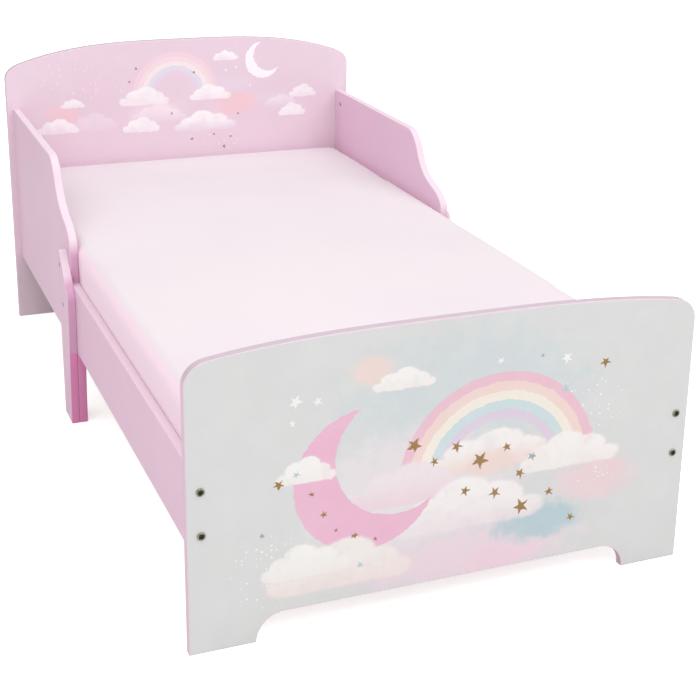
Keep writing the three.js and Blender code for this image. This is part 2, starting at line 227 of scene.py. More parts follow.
star_print, given, out = node_group(
    "star_print",
    [("Point", "Vector"), ("Centre", "Vector"), ("Radius", "Float"), ("Turn", "Float")],
    [("Mask", "Float")],
)
offset = vector_calc(star_print, "SUBTRACT", given["Point"], given["Centre"])
split = add(star_print, "SeparateXYZ", offset).outputs
reach = calc(star_print, "DIVIDE", vector_calc(star_print, "LENGTH", offset), given["Radius"])
angle = calc(star_print, "ADD", calc(star_print, "ARCTAN2", split[1], split[0]), given["Turn"])
HALF_POINT = math.pi / 5
STAR_WAIST = 0.38
from_tip = calc(star_print, "PINGPONG", calc(star_print, "ADD", angle, 4 * math.pi), HALF_POINT)
slope_x = STAR_WAIST * math.sin(HALF_POINT)
slope_y = 1 - STAR_WAIST * math.cos(HALF_POINT)
outward = calc(star_print, "MULTIPLY", reach, calc(star_print, "COSINE", from_tip))
sideways = calc(star_print, "MULTIPLY", reach, calc(star_print, "SINE", from_tip))
beyond = calc(star_print, "MULTIPLY", outward, slope_x)
beside = calc(star_print, "MULTIPLY", sideways, slope_y)
outside = calc(star_print, "SUBTRACT", calc(star_print, "ADD", beyond, beside), slope_x)
put(star_print, out["Mask"], ramp(star_print, outside, 0.02, -0.02))

moon_print, given, out = node_group(
    "moon_print",
    [("Point", "Vector"), ("Centre", "Vector"), ("Bite", "Vector"), ("Radius", "Float")],
    [("Mask", "Float")],
)
from_centre = vector_calc(moon_print, "DISTANCE", given["Point"], given["Centre"])
disc = ramp(moon_print, calc(moon_print, "SUBTRACT", from_centre, given["Radius"]), 0.6, -0.6)
from_bite = vector_calc(moon_print, "DISTANCE", given["Point"], given["Bite"])
bite_radius = calc(moon_print, "MULTIPLY", given["Radius"], 0.86)
bite = ramp(moon_print, calc(moon_print, "SUBTRACT", from_bite, bite_radius), 0.6, -0.6)
put(moon_print, out["Mask"], calc(moon_print, "MULTIPLY", disc, calc(moon_print, "SUBTRACT", 1.0, bite)))

rainbow_print, given, out = node_group(
    "rainbow_print",
    [("Point", "Vector"), ("Centre", "Vector"), ("Radius", "Float"), ("Width", "Float")],
    [("Mask", "Float"), ("Band", "Float")],
)
offset = vector_calc(rainbow_print, "SUBTRACT", given["Point"], given["Centre"])
from_rim = calc(rainbow_print, "SUBTRACT", given["Radius"], vector_calc(rainbow_print, "LENGTH", offset))
depth = calc(rainbow_print, "DIVIDE", from_rim, given["Width"])
within_rim = ramp(rainbow_print, depth, -0.01, 0.01)
before_end = ramp(rainbow_print, depth, 1.01, 0.99)
arc = calc(rainbow_print, "MULTIPLY", within_rim, before_end)
rise = add(rainbow_print, "SeparateXYZ", offset).outputs[1]
put(rainbow_print, out["Mask"], calc(rainbow_print, "MULTIPLY", arc, ramp(rainbow_print, rise, -2.0, 14.0)))
put(rainbow_print, out["Band"], depth)

wash_print, given, out = node_group(
    "wash_print",
    [("Point", "Vector"), ("Centre", "Vector"), ("Size", "Vector")],
    [("Mask", "Float")],
)
pooled = grain_noise(wash_print, given["Point"], 0.035, 4.0, 0.65)[0]
from_centre = vector_calc(wash_print, "LENGTH", within(wash_print, given))
spread = calc(wash_print, "MULTIPLY_ADD", pooled, 1.1, from_centre)
put(wash_print, out["Mask"], ramp(wash_print, spread, 1.55, 1.05))

speckle_print, given, out = node_group(
    "speckle_print",
    [("Point", "Vector"), ("Centre", "Vector"), ("Size", "Vector"), ("Stretch", "Vector")],
    [("Mask", "Float")],
)
drops = speckle_print.nodes.new("ShaderNodeTexVoronoi")
drops.voronoi_dimensions = "2D"
drops.inputs["Scale"].default_value = 0.14
stretched = vector_calc(speckle_print, "MULTIPLY", given["Point"], given["Stretch"])
put(speckle_print, drops.inputs["Vector"], stretched)
chance = add(speckle_print, "SeparateXYZ", drops.outputs["Color"]).outputs
drop_size = ramp(speckle_print, chance[0], 0.55, 1.0, 0.0, 0.24)
drop = ramp(speckle_print, calc(speckle_print, "SUBTRACT", drops.outputs["Distance"], drop_size), 0.02, -0.05)
from_centre = vector_calc(speckle_print, "LENGTH", within(speckle_print, given))
patch = ramp(speckle_print, from_centre, 1.0, 0.5)
put(speckle_print, out["Mask"], calc(speckle_print, "MULTIPLY", drop, patch))

WHITE_INK = srgb(244, 241, 241)
GOLD_INK = srgb(152, 118, 64)


def print_motifs(tree, ground, point, motifs):
    """Lays the motifs on the ground colour, first to last, and gives it with the mask of its gold.
    A motif is its kind, its centre's x and z, its half width or radius, its height (a moon's: how
    far its bite lies from its centre), its ink, and then a cloud's shaded ink, the share of a wash
    or rainbow that covers, a star's turn, or the stretch of speckles."""
    face = ground
    gold = None
    for kind, x, z, across, high, ink, second in motifs:
        spot = {"Point": point, "Centre": (x, z, 0.0)}
        size = {"Size": (across, high, 1.0)}
        if kind == "cloud":
            motif = place(tree, cloud_print, spot | size)
            ink = laid_over(tree, motif["Shade"], second, ink)
            mask = motif["Mask"]
        elif kind == "wash":
            mask = calc(tree, "MULTIPLY", place(tree, wash_print, spot | size)["Mask"], second)
        elif kind == "star":
            mask = place(tree, star_print, spot | {"Radius": across, "Turn": second})["Mask"]
        elif kind == "moon":
            bite = (x + across * 0.42 * high, z + across * 0.3 * high, 0.0)
            mask = place(tree, moon_print, spot | {"Bite": bite, "Radius": across})["Mask"]
        elif kind == "speckle":
            mask = place(tree, speckle_print, spot | size | {"Stretch": second})["Mask"]
        else:
            motif = place(tree, rainbow_print, spot | {"Radius": across, "Width": high})
            bands = tree.nodes.new("ShaderNodeValToRGB")
            bands.color_ramp.interpolation = "CONSTANT"
            for n, band in enumerate(ink):
                if n > 1:
                    bands.color_ramp.elements.new(n / len(ink))
                bands.color_ramp.elements[n].position = n / len(ink)
                bands.color_ramp.elements[n].color = band
            put(tree, bands.inputs[0], motif["Band"])
            ink = bands.outputs[0]
            mask = calc(tree, "MULTIPLY", motif["Mask"], second)
        face = laid_over(tree, mask, face, ink)
        if ink == GOLD_INK:
            gold = mask if gold is None else calc(tree, "MAXIMUM", gold, mask)
    return face, gold


MM_PER_METRE = 1000.0
INK_BLEED = 8.0
# Strengths of the painted highlight on the arrises: full, and faint.
FULL_ARRIS_HIGHLIGHT = 1.1
FAINT_ARRIS_HIGHLIGHT = 0.1


def board_material(
    name, paint, edge_paint, across, ground=None, motifs=(), edge_bands=(), highlight_below=FAINT_ARRIS_HIGHLIGHT
):
    """Lacquered fibreboard. across runs through the board's thickness; ground and motifs print its
    front face. edge_bands are heights, each with the edge paint below it and how softly it begins;
    the edge paints carry painted shade and painted highlight on the edges. The last argument is how
    strong the painted highlight on the arrises stays below the last band."""
    made, tree, shader = new_material(name)
    place_on_board = tree.nodes.new("ShaderNodeTexCoord").outputs
    colour = paint
    if ground is not None:
        split = add(tree, "SeparateXYZ", scaled(tree, place_on_board["Object"], MM_PER_METRE)).outputs
        flat = add(tree, "CombineXYZ", split[0], split[2], 0.0).outputs[0]
        bleed = grain_noise(tree, flat, 0.1, 4.0, 0.65)["Color"]
        bleed = scaled(tree, vector_calc(tree, "SUBTRACT", bleed, (0.5, 0.5, 0.5)), INK_BLEED)
        point = vector_calc(tree, "MULTIPLY", vector_calc(tree, "ADD", flat, bleed), (1.0, 1.0, 0.0))
        face, gold = print_motifs(tree, ground, point, motifs)
        washes = ramp(tree, grain_noise(tree, flat, 0.02, 5.0, 0.6)[0], 0.35, 0.75, 0.0, 0.07)
        face = laid_over(tree, washes, face, WHITE_INK)
        front = vector_calc(tree, "DOT_PRODUCT", place_on_board["Normal"], (0.0, -1.0, 0.0))
        front = ramp(tree, front, 0.9, 0.97)
        colour = laid_over(tree, front, paint, face)
        gold_leaf = calc(tree, "MULTIPLY", gold, front)
        put(tree, shader.inputs["Metallic"], calc(tree, "MULTIPLY", gold_leaf, 0.35))
    # Painted highlight on the arrises: full strength, fading below the last band to the given strength when
    # that is lower.
    highlight_share = FULL_ARRIS_HIGHLIGHT
    # Each band lays its edge paint below its height. These edge paints are painted shade on the guards' and
    # legs' lower edges and, above the band, on the end boards' crests.
    for band_top, band_paint, softness in edge_bands:
        height = add(tree, "SeparateXYZ", place_on_board["Object"]).outputs[2]
        band = ramp(tree, height, band_top + softness, band_top)
        edge_paint = laid_over(tree, band, edge_paint, band_paint)
        if highlight_below < FULL_ARRIS_HIGHLIGHT:
            highlight_share = ramp(tree, height, band_top, band_top + softness, highlight_below, FULL_ARRIS_HIGHLIGHT)
    film = place(
        tree,
        lacquer,
        {
            "Colour": colour,
            "Edge Colour": edge_paint,
            "Point": place_on_board["Object"],
            "Normal": place_on_board["Normal"],
            "Across": across,
            "Arris Highlight": highlight_share,
        },
    )
    put(tree, shader.inputs["Base Color"], film["Colour"])
    put(tree, shader.inputs["Roughness"], film["Roughness"])
    emboss(tree, shader, film["Height"], 0.35, 0.0003)
    shader.inputs["Specular IOR Level"].default_value = 0.12
    shader.inputs["Coat Weight"].default_value = 0.02
    shader.inputs["Coat Roughness"].default_value = 0.3
    return made


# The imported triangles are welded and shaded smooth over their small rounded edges.
WELD_DISTANCE = 0.00002
SHARP_ANGLE = math.radians(50)
soft_edges = bpy.data.node_groups.new("soft_edges", "GeometryNodeTree")
soft_edges.interface.new_socket("Geometry", in_out="INPUT", socket_type="NodeSocketGeometry")
soft_edges.interface.new_socket("Geometry", in_out="OUTPUT", socket_type="NodeSocketGeometry")
weld = soft_edges.nodes.new("GeometryNodeMergeByDistance")
weld.inputs["Distance"].default_value = WELD_DISTANCE
fold = soft_edges.nodes.new("GeometryNodeInputMeshEdgeAngle")
is_sharp = soft_edges.nodes.new("FunctionNodeCompare")
is_sharp.operation = "GREATER_THAN"
is_sharp.inputs[1].default_value = SHARP_ANGLE
smooth_faces = soft_edges.nodes.new("GeometryNodeSetShadeSmooth")
sharp_edges = soft_edges.nodes.new("GeometryNodeSetShadeSmooth")
sharp_edges.domain = "EDGE"
sharp_edges.inputs["Shade Smooth"].default_value = False
soft_edges.links.new(soft_edges.nodes.new("NodeGroupInput").outputs[0], weld.inputs[0])
soft_edges.links.new(weld.outputs[0], smooth_faces.inputs[0])
soft_edges.links.new(smooth_faces.outputs[0], sharp_edges.inputs[0])
soft_edges.links.new(fold.outputs["Unsigned Angle"], is_sharp.inputs[0])
soft_edges.links.new(is_sharp.outputs[0], sharp_edges.inputs["Selection"])
soft_edges.links.new(sharp_edges.outputs[0], soft_edges.nodes.new("NodeGroupOutput").inputs[0])


def finish_part(name, material):
    """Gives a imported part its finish, and smooth shading over its rounded edges."""
    part = nodes[name]
    part.data.materials.clear()
    part.data.materials.append(material)
    part.modifiers.new("soft_edges", "NODES").node_group = soft_edges
    even = part.modifiers.new("even_faces", "WEIGHTED_NORMAL")
    even.weight = 100
    even.keep_sharp = True


PINK_PAINT = srgb(227, 193, 213)
END_EDGE = srgb(222, 194, 210)
# Painted shade: the end boards' crests, above their shoulders, are a duller pink than their sides.
SHADED_CREST_EDGE = srgb(190, 175, 184)
CREST_SOFTNESS = 0.02
HEAD_SHOULDER = 0.53
ALONG_Y = (0.0, 1.0, 0.0)
DOTS = (1.0, 1.0, 1.0)
RAIN = (1.3, 0.5, 1.0)
PALE_LILAC = srgb(226, 210, 223)
PALE_BLUSH = srgb(240, 229, 235)
PALE_BANDS = (
    srgb(240, 210, 221),
    srgb(242, 222, 222),
    srgb(244, 234, 234),
    srgb(218, 222, 229),
    srgb(226, 209, 225),
)


def stars(ink, *places):
    """Stars printed in one ink; each place is the star's x and z, its radius and its turn."""
    return [("star", x, z, radius, 0, ink, turn) for x, z, radius, turn in places]


headboard_motifs = [
    ("speckle", -215, 530, 150, 70, srgb(242, 220, 230), RAIN),
    ("wash", -270, 450, 48, 30, srgb(238, 200, 206), 0.7),
    ("wash", 118, 456, 62, 36, srgb(238, 198, 202), 0.75),
    ("wash", 88, 497, 84, 26, PALE_LILAC, 0.8),
    ("wash", 215, 455, 60, 26, PALE_LILAC, 0.7),
    ("wash", -60, 445, 85, 26, srgb(236, 214, 224), 0.8),
    ("rainbow", -20, 480, 98, 52, PALE_BANDS, 0.75),
    ("cloud", -205, 412, 54, 40, srgb(232, 216, 228), srgb(228, 208, 221)),
    ("cloud", -284, 410, 46, 34, WHITE_INK, PALE_BLUSH),
    ("cloud", -250, 465, 27, 20, WHITE_INK, PALE_BLUSH),
    ("cloud", 97, 554, -30, 22, WHITE_INK, PALE_BLUSH),
    ("cloud", 226, 442, 40, 26, srgb(236, 222, 232), PALE_LILAC),
    ("cloud", 280, 460, 33, 30, WHITE_INK, PALE_BLUSH),
    ("cloud", 255, 418, -33, 30, WHITE_INK, PALE_BLUSH),
    ("cloud", -60, 424, 60, 40, srgb(240, 224, 231), PALE_LILAC),
    ("cloud", -92, 462, 56, 42, WHITE_INK, PALE_BLUSH),
    ("cloud", 60, 466, -48, 36, WHITE_INK, PALE_BLUSH),
    ("cloud", -100, 402, 42, 34, WHITE_INK, PALE_BLUSH),
    ("cloud", 48, 396, -72, 46, WHITE_INK, PALE_LILAC),
    ("moon", 184, 550, 41, 0.8, srgb(250, 242, 247), None),
    ("speckle", 84, 372, 76, 30, WHITE_INK, DOTS),
    *stars(
        WHITE_INK,
        (97, 531, 4, 0.2),
        (121, 536, 4, 0.9),
        (154, 493, 3.5, 0.5),
    ),
    *stars(
        GOLD_INK,
        (-108, 544, 4.5, 0.3),
        (-124, 516, 3.5, 0.1),
        (23, 530, 4.5, 0.6),
        (15, 378, 4.5, 0.2),
        (67, 386, 3.5, 0.8),
        (106, 378, 4, 0.4),
        (90, 356, 4.5, 0.0),
        (124, 430, 3.5, 0.7),
        (-30, 440, 4, 0.5),
    ),
]
night_sky = board_material(
    "headboard_print",
    paint=PINK_PAINT,
    edge_paint=SHADED_CREST_EDGE,
    across=ALONG_Y,
    ground=srgb(227, 205, 217),
    motifs=headboard_motifs,
    edge_bands=((HEAD_SHOULDER, END_EDGE, CREST_SOFTNESS),),
    highlight_below=FULL_ARRIS_HIGHLIGHT,
)
finish_part("headboard", night_sky)


# ---------------------------------------------------------------------------
# Footboard
# The matching low panel at the foot end, printed pale grey with clouds, a rainbow
# and a crescent moon. The printed sheet stops at the arris, so a pink line shows all round.
# ---------------------------------------------------------------------------
FOOT_SHOULDER = 0.395
SOFT_WHITE = srgb(232, 229, 226)
CREAM_INK = srgb(229, 224, 220)
PEACH_INK = srgb(226, 205, 198)
BLUSH_INK = srgb(224, 200, 208)
TEAL_INK = srgb(172, 195, 200)
SLATE_INK = srgb(150, 162, 168)
RAINBOW_BANDS = (
    srgb(226, 178, 194),
    srgb(232, 203, 195),
    srgb(234, 225, 212),
    srgb(192, 211, 213),
    srgb(211, 195, 212),
)
footboard_motifs = [
    ("wash", 20, 330, 240, 120, srgb(196, 205, 207), 0.7),
    ("wash", -60, 190, 190, 120, srgb(222, 214, 218), 0.8),
    ("wash", 236, 163, 84, 46, srgb(224, 200, 204), 0.85),
    ("wash", 30, 72, 215, 52, srgb(224, 205, 214), 0.9),
    ("wash", 75, 60, 80, 30, srgb(230, 200, 210), 0.6),
    ("wash", 142, 108, 84, 40, TEAL_INK, 0.9),
    ("wash", -125, 383, 44, 26, PEACH_INK, 0.9),
    ("speckle", 205, 275, 100, 70, SOFT_WHITE, DOTS),
    ("speckle", -275, 105, 85, 72, SOFT_WHITE, DOTS),
    ("rainbow", 72, 196, 158, 72, RAINBOW_BANDS, 0.85),
    ("cloud", -80, 350, 48, 32, SOFT_WHITE, CREAM_INK),
    ("cloud", 60, 206, 108, 62, SOFT_WHITE, PEACH_INK),
    ("cloud", 190, 188, -84, 58, SOFT_WHITE, CREAM_INK),
    ("cloud", -70, 172, 90, 66, srgb(226, 216, 220), BLUSH_INK),
    ("cloud", 30, 118, -120, 82, SOFT_WHITE, srgb(224, 213, 217)),
    ("wash", 62, 216, 52, 26, PEACH_INK, 0.8),
    ("moon", -132, 222, 108, 1.0, srgb(223, 176, 198), None),
    ("cloud", -222, 232, 44, 40, SOFT_WHITE, CREAM_INK),
    ("cloud", -170, 62, 110, 76, CREAM_INK, srgb(228, 214, 211)),
    ("cloud", -222, 88, -66, 52, SOFT_WHITE, CREAM_INK),
    ("speckle", 232, 168, 50, 24, SOFT_WHITE, DOTS),
    *stars(
        GOLD_INK,
        (-261, 236, 9, 0.3),
        (240, 346, 9, 0.3),
        (197, 103, 8, 0.25),
        (-62, 262, 13, 0.2),
        (-30, 232, 8, 0.5),
        (4, 250, 10, 0.1),
        (42, 222, 15, 0.3),
        (84, 236, 8, 0.7),
        (20, 178, 9, 0.0),
        (68, 166, 11, 0.45),
        (108, 190, 9, 0.2),
        (112, 136, 14, 0.6),
        (158, 152, 8, 0.9),
        (-150, 138, 6, 0.1),
        (-196, 180, 6, 0.5),
        (-118, 128, 4, 0.8),
        (-214, 214, 4.5, 0.6),
        (-178, 152, 4, 0.4),
    ),
    *stars(
        SOFT_WHITE,
        (-237, 354, 11, 0.2),
        (-205, 350, 8, 0.6),
        (-242, 323, 6, 0.9),
        (68, 372, 6, 0.3),
        (175, 361, 10, 0.5),
    ),
    *stars(
        TEAL_INK,
        (-236, 247, 6, 0.2),
        (-141, 91, 6, 0.5),
        (176, 314, 8, 0.7),
    ),
    *stars(
        SLATE_INK,
        (-285, 164, 4.5, 0.8),
        (127, 214, 8, 0.1),
        (135, 370, 4, 0.4),
    ),
]
day_sky = board_material(
    "footboard_print",
    paint=PINK_PAINT,
    edge_paint=SHADED_CREST_EDGE,
    across=ALONG_Y,
    ground=srgb(207, 208, 207),
    motifs=footboard_motifs,
    edge_bands=((FOOT_SHOULDER, END_EDGE, CREST_SOFTNESS),),
    highlight_below=FULL_ARRIS_HIGHLIGHT,
)
finish_part("footboard", day_sky)


# ---------------------------------------------------------------------------
# Side rails and guard panels
# Sawn from the same board, sprayed pink and lacquered on both faces. Each guard
# sweeps down from the headboard to meet its rail at the leg in the middle of the side.
# ---------------------------------------------------------------------------
# Painted highlight: the sawn edges of the rails, guards and leg plates are paler than their faces, for the
# light on their top edges.
LIT_PINK_EDGE = srgb(226, 205, 217)
# Painted shade: the guards' edges below the foot of their sweep, and the leg plates' edges below the rail
# top, are a deeper rose pink.
SHADED_ROSE_PINK = srgb(212, 166, 194)
SWEEP_FOOT = 0.318
SWEEP_SOFTNESS = 0.024
ALONG_X = (1.0, 0.0, 0.0)
rail_paint = board_material("side_rail_paint", paint=PINK_PAINT, edge_paint=LIT_PINK_EDGE, across=ALONG_X)
guard_paint = board_material(
    "guard_panel_paint",
    paint=PINK_PAINT,
    edge_paint=LIT_PINK_EDGE,
    across=ALONG_X,
    edge_bands=((SWEEP_FOOT, SHADED_ROSE_PINK, SWEEP_SOFTNESS),),
)
for side in ("left", "right"):
    finish_part("side_rail_" + side, rail_paint)
    finish_part("guard_panel_" + side, guard_paint)


# ---------------------------------------------------------------------------
# Middle legs
# A leg plate is screwed over the joint between rail and guard, and a block of the same board
# fills the leg out below the rail. The block, and the plate's edges below its top, are a deeper pink: painted
# shade on the leg's front.
# ---------------------------------------------------------------------------
# Painted shade: a deeper pink all over the block and on the plate's lowest edges, for the shade on the leg's
# front.
SHADED_DEEP_PINK = srgb(234, 146, 195)
ROSE_SOFTNESS = 0.02
DEEP_SOFTNESS = 0.003
rail_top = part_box("side_rail_left")[1].z
block_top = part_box("leg_block_left")[1].z
leg_paint = board_material(
    "leg_paint",
    paint=PINK_PAINT,
    edge_paint=LIT_PINK_EDGE,
    across=ALONG_X,
    edge_bands=((rail_top, SHADED_ROSE_PINK, ROSE_SOFTNESS), (block_top, SHADED_DEEP_PINK, DEEP_SOFTNESS)),
)
block_paint = board_material(
    "leg_block_paint",
    paint=SHADED_DEEP_PINK,
    edge_paint=SHADED_DEEP_PINK,
    across=ALONG_X,
    edge_bands=((block_top, SHADED_DEEP_PINK, DEEP_SOFTNESS),),
)
for side in ("left", "right"):
    finish_part("leg_plate_" + side, leg_paint)
    finish_part("leg_block_" + side, block_paint)


# ---------------------------------------------------------------------------
# Bolts, barrel nuts, dowels and screws
# The boards knock down: bronzed hex bolts run through the end boards into zinc barrel
# nuts in the rails, with a beech dowel beside each pair. Zinc screws hold legs and cleats.
# ---------------------------------------------------------------------------
plating, given, out = node_group(
    "plating",
    [("Colour", "Color"), ("Dull Colour", "Color"), ("Point", "Vector")],
    [("Colour", "Color"), ("Roughness", "Float"), ("Height", "Float")],
)
blotch = grain_noise(plating, given["Point"], 320.0, 4.0, 0.6)[0]
drawn = vector_calc(plating, "MULTIPLY", given["Point"], (1.0, 6.0, 1.0))
turning = grain_noise(plating, drawn, 1500.0, 2.0)[0]
dulled = ramp(plating, blotch, 0.35, 0.7)
put(plating, out["Colour"], laid_over(plating, dulled, given["Colour"], given["Dull Colour"]))
put(plating, out["Roughness"], ramp(plating, blotch, 0.3, 0.75, 0.28, 0.5))
put(plating, out["Height"], turning)


def middle(name):
    low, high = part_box(name)
    return (low + high) / 2


bolt_names = sorted(name for name in nodes if name.startswith("bolt_"))
bolt_x = abs(middle(bolt_names[0]).x)
bolt_heights = sorted({round(middle(name).z, 4) for name in bolt_names})
KEY_SOCKET_RADIUS = 0.0032
KEY_SOCKET_RIM = 0.0048
BRIGHT_FROM = 0.0036
DULL_WITHIN = 0.0028
BRIGHT_METAL = 0.95
DULL_METAL = 0.3


def metal_material(name, colour, dull_colour, axis_heights=()):
    """Plated steel. axis_heights are those of the bolts' axes, where the key sockets get painted shade."""
    made, tree, shader = new_material(name)
    point = tree.nodes.new("ShaderNodeTexCoord").outputs["Object"]
    plate = place(tree, plating, {"Colour": colour, "Dull Colour": dull_colour, "Point": point})
    tone = plate["Colour"]
    if axis_heights:
        split = add(tree, "SeparateXYZ", point).outputs
        sideways = calc(tree, "SUBTRACT", calc(tree, "ABSOLUTE", split[0]), bolt_x)
        nearest = None
        for height in axis_heights:
            upward = calc(tree, "SUBTRACT", split[2], height)
            arm = add(tree, "CombineXYZ", sideways, upward, 0.0).outputs[0]
            distance = vector_calc(tree, "LENGTH", arm)
            nearest = distance if nearest is None else calc(tree, "MINIMUM", nearest, distance)
        # Painted shade: the key sockets round the bolts' axes are near black.
        painted_socket_shade = ramp(tree, nearest, KEY_SOCKET_RIM, KEY_SOCKET_RADIUS)
        tone = laid_over(tree, painted_socket_shade, tone, srgb(42, 44, 36))
        bare = ramp(tree, nearest, DULL_WITHIN, BRIGHT_FROM, DULL_METAL, BRIGHT_METAL)
        put(tree, shader.inputs["Metallic"], bare)
    else:
        shader.inputs["Metallic"].default_value = BRIGHT_METAL
    put(tree, shader.inputs["Base Color"], tone)
    put(tree, shader.inputs["Roughness"], plate["Roughness"])
    emboss(tree, shader, plate["Height"], 0.2, 0.0001)
    return made


bronze = metal_material("bronzed_steel", srgb(176, 170, 150), srgb(120, 113, 94), bolt_heights)
zinc = metal_material("zinc_plate", srgb(186, 184, 178), srgb(140, 138, 134))
dark_zinc = metal_material("screw_steel", srgb(120, 108, 108), srgb(84, 76, 78))
for name in nodes:
    if name.startswith("bolt_"):
        finish_part(name, bronze)
    elif name.startswith(("barrel_nut_", "cleat_screw_")):
        finish_part(name, zinc)
    elif name.startswith("leg_screw_"):
        finish_part(name, dark_zinc)

timber, given, out = node_group(
    "timber",
    [
        ("Pale", "Color"),
        ("Dark", "Color"),
        ("Point", "Vector"),
        ("Stretch", "Vector"),
        ("Rings", "Float"),
    ],
    [("Colour", "Color"), ("Roughness", "Float"), ("Height", "Float")],
)
along_grain = vector_calc(timber, "MULTIPLY", given["Point"], given["Stretch"])
figure = grain_noise(timber, along_grain, 1.0, 1.5, 0.4)[0]
ring = calc(timber, "FRACT", calc(timber, "MULTIPLY", figure, given["Rings"]))
latewood = calc(timber, "POWER", ring, 3.0)
fibre = grain_noise(timber, along_grain, 30.0, 3.0, 0.6)[0]
age = grain_noise(timber, along_grain, 0.35, 2.0)[0]
dark_share = calc(timber, "MULTIPLY_ADD", fibre, 0.35, calc(timber, "MULTIPLY", latewood, 0.6))
wood_tone = laid_over(timber, dark_share, given["Pale"], given["Dark"])
wood_tone = laid_over(timber, ramp(timber, age, 0.3, 0.7, 0.0, 0.25), wood_tone, given["Dark"])
put(timber, out["Colour"], wood_tone)
put(timber, out["Roughness"], ramp(timber, fibre, 0.2, 0.8, 0.5, 0.68))
put(timber, out["Height"], calc(timber, "MULTIPLY_ADD", latewood, 0.5, fibre))


def wood_material(name, pale, dark, stretch, rings):
    """Planed bare wood; stretch is small along the grain."""
    made, tree, shader = new_material(name)
    point = tree.nodes.new("ShaderNodeTexCoord").outputs["Object"]
    values = {"Pale": pale, "Dark": dark, "Point": point, "Stretch": stretch, "Rings": rings}
    wood = place(tree, timber, values)
    put(tree, shader.inputs["Base Color"], wood["Colour"])
    put(tree, shader.inputs["Roughness"], wood["Roughness"])
    emboss(tree, shader, wood["Height"], 0.4, 0.0003)
    return made


beech = wood_material("beech_dowel", srgb(226, 190, 150), srgb(190, 144, 104), (60.0, 8.0, 60.0), 5.0)
for name in nodes:
    if name.startswith("dowel_"):
        finish_part(name, beech)


# ---------------------------------------------------------------------------
# Slat cleats, slats and straps
# Planed pine: a cleat is screwed inside each rail and guard, and twelve slats lie on the
# two cleats. Two woven straps, tacked underneath, keep the slats at their spacing.
# ---------------------------------------------------------------------------
PINE_PALE = srgb(238, 215, 176)
PINE_DARK = srgb(212, 173, 124)
cleat_pine = wood_material("cleat_pine", PINE_PALE, PINE_DARK, (45.0, 2.2, 45.0), 7.0)
slat_pine = wood_material("slat_pine", PINE_PALE, PINE_DARK, (2.6, 26.0, 40.0), 9.0)
for side in ("left", "right"):
    finish_part("slat_cleat_" + side, cleat_pine)
slat_names = sorted(name for name in nodes if name.startswith("slat_") and name[5:].isdigit())
for name in slat_names:
    finish_part(name, slat_pine)

weave, given, out = node_group(
    "weave",
    [("Point", "Vector"), ("Normal", "Vector"), ("Pitch", "Float")],
    [("Height", "Float"), ("Mottle", "Float")],
)
split = add(weave, "SeparateXYZ", given["Point"]).outputs
lean = add(weave, "SeparateXYZ", given["Normal"]).outputs
on_side = calc(weave, "GREATER_THAN", calc(weave, "ABSOLUTE", lean[0]), 0.7)
on_top = calc(weave, "GREATER_THAN", calc(weave, "ABSOLUTE", lean[2]), 0.7)
weft = calc(weave, "MULTIPLY_ADD", on_side, calc(weave, "SUBTRACT", split[1], split[0]), split[0])
warp = calc(weave, "MULTIPLY_ADD", on_top, calc(weave, "SUBTRACT", split[1], split[2]), split[2])
turns = calc(weave, "DIVIDE", math.pi, given["Pitch"])
over = calc(weave, "SINE", calc(weave, "MULTIPLY", weft, turns))
under = calc(weave, "SINE", calc(weave, "MULTIPLY", warp, turns))
threads = calc(weave, "MULTIPLY", over, under)
slub = grain_noise(weave, given["Point"], 260.0, 3.0, 0.6)[0]
put(weave, out["Height"], calc(weave, "MULTIPLY_ADD", threads, 0.5, slub))
put(weave, out["Mottle"], grain_noise(weave, given["Point"], 3.0, 2.0, 0.4)[0])


def cloth_material(name, colour, shade, pitch, sheen, thread_relief, side_shade_colour=None):
    """Woven cloth: thread relief and slubs as bump, a soft mottle in its colour, and sheen.
    The last argument is a painted shade: a pinker tone where the cloth turns away from facing up."""
    made, tree, shader = new_material(name)
    place_on_cloth = tree.nodes.new("ShaderNodeTexCoord").outputs
    values = {"Point": place_on_cloth["Object"], "Normal": place_on_cloth["Normal"], "Pitch": pitch}
    cloth = place(tree, weave, values)
    tone = laid_over(tree, ramp(tree, cloth["Mottle"], 0.35, 0.75), colour, shade)
    if side_shade_colour is not None:
        # Painted shade: a pinker tone as the cloth turns from facing up.
        upward = add(tree, "SeparateXYZ", place_on_cloth["Normal"]).outputs[2]
        tone = laid_over(tree, ramp(tree, upward, 0.985, 0.45), tone, side_shade_colour)
    put(tree, shader.inputs["Base Color"], tone)
    put(tree, shader.inputs["Roughness"], ramp(tree, cloth["Height"], 0.2, 1.0, 0.78, 0.95))
    emboss(tree, shader, cloth["Height"], 0.3, thread_relief)
    shader.inputs["Sheen Weight"].default_value = sheen
    shader.inputs["Sheen Roughness"].default_value = 0.5
    shader.inputs["Specular IOR Level"].default_value = 0.25
    return made


webbing = cloth_material("webbing", srgb(236, 233, 226), srgb(214, 210, 202), 0.0012, 0.1, 0.0004)
for side in ("left", "right"):
    finish_part("slat_strap_" + side, webbing)


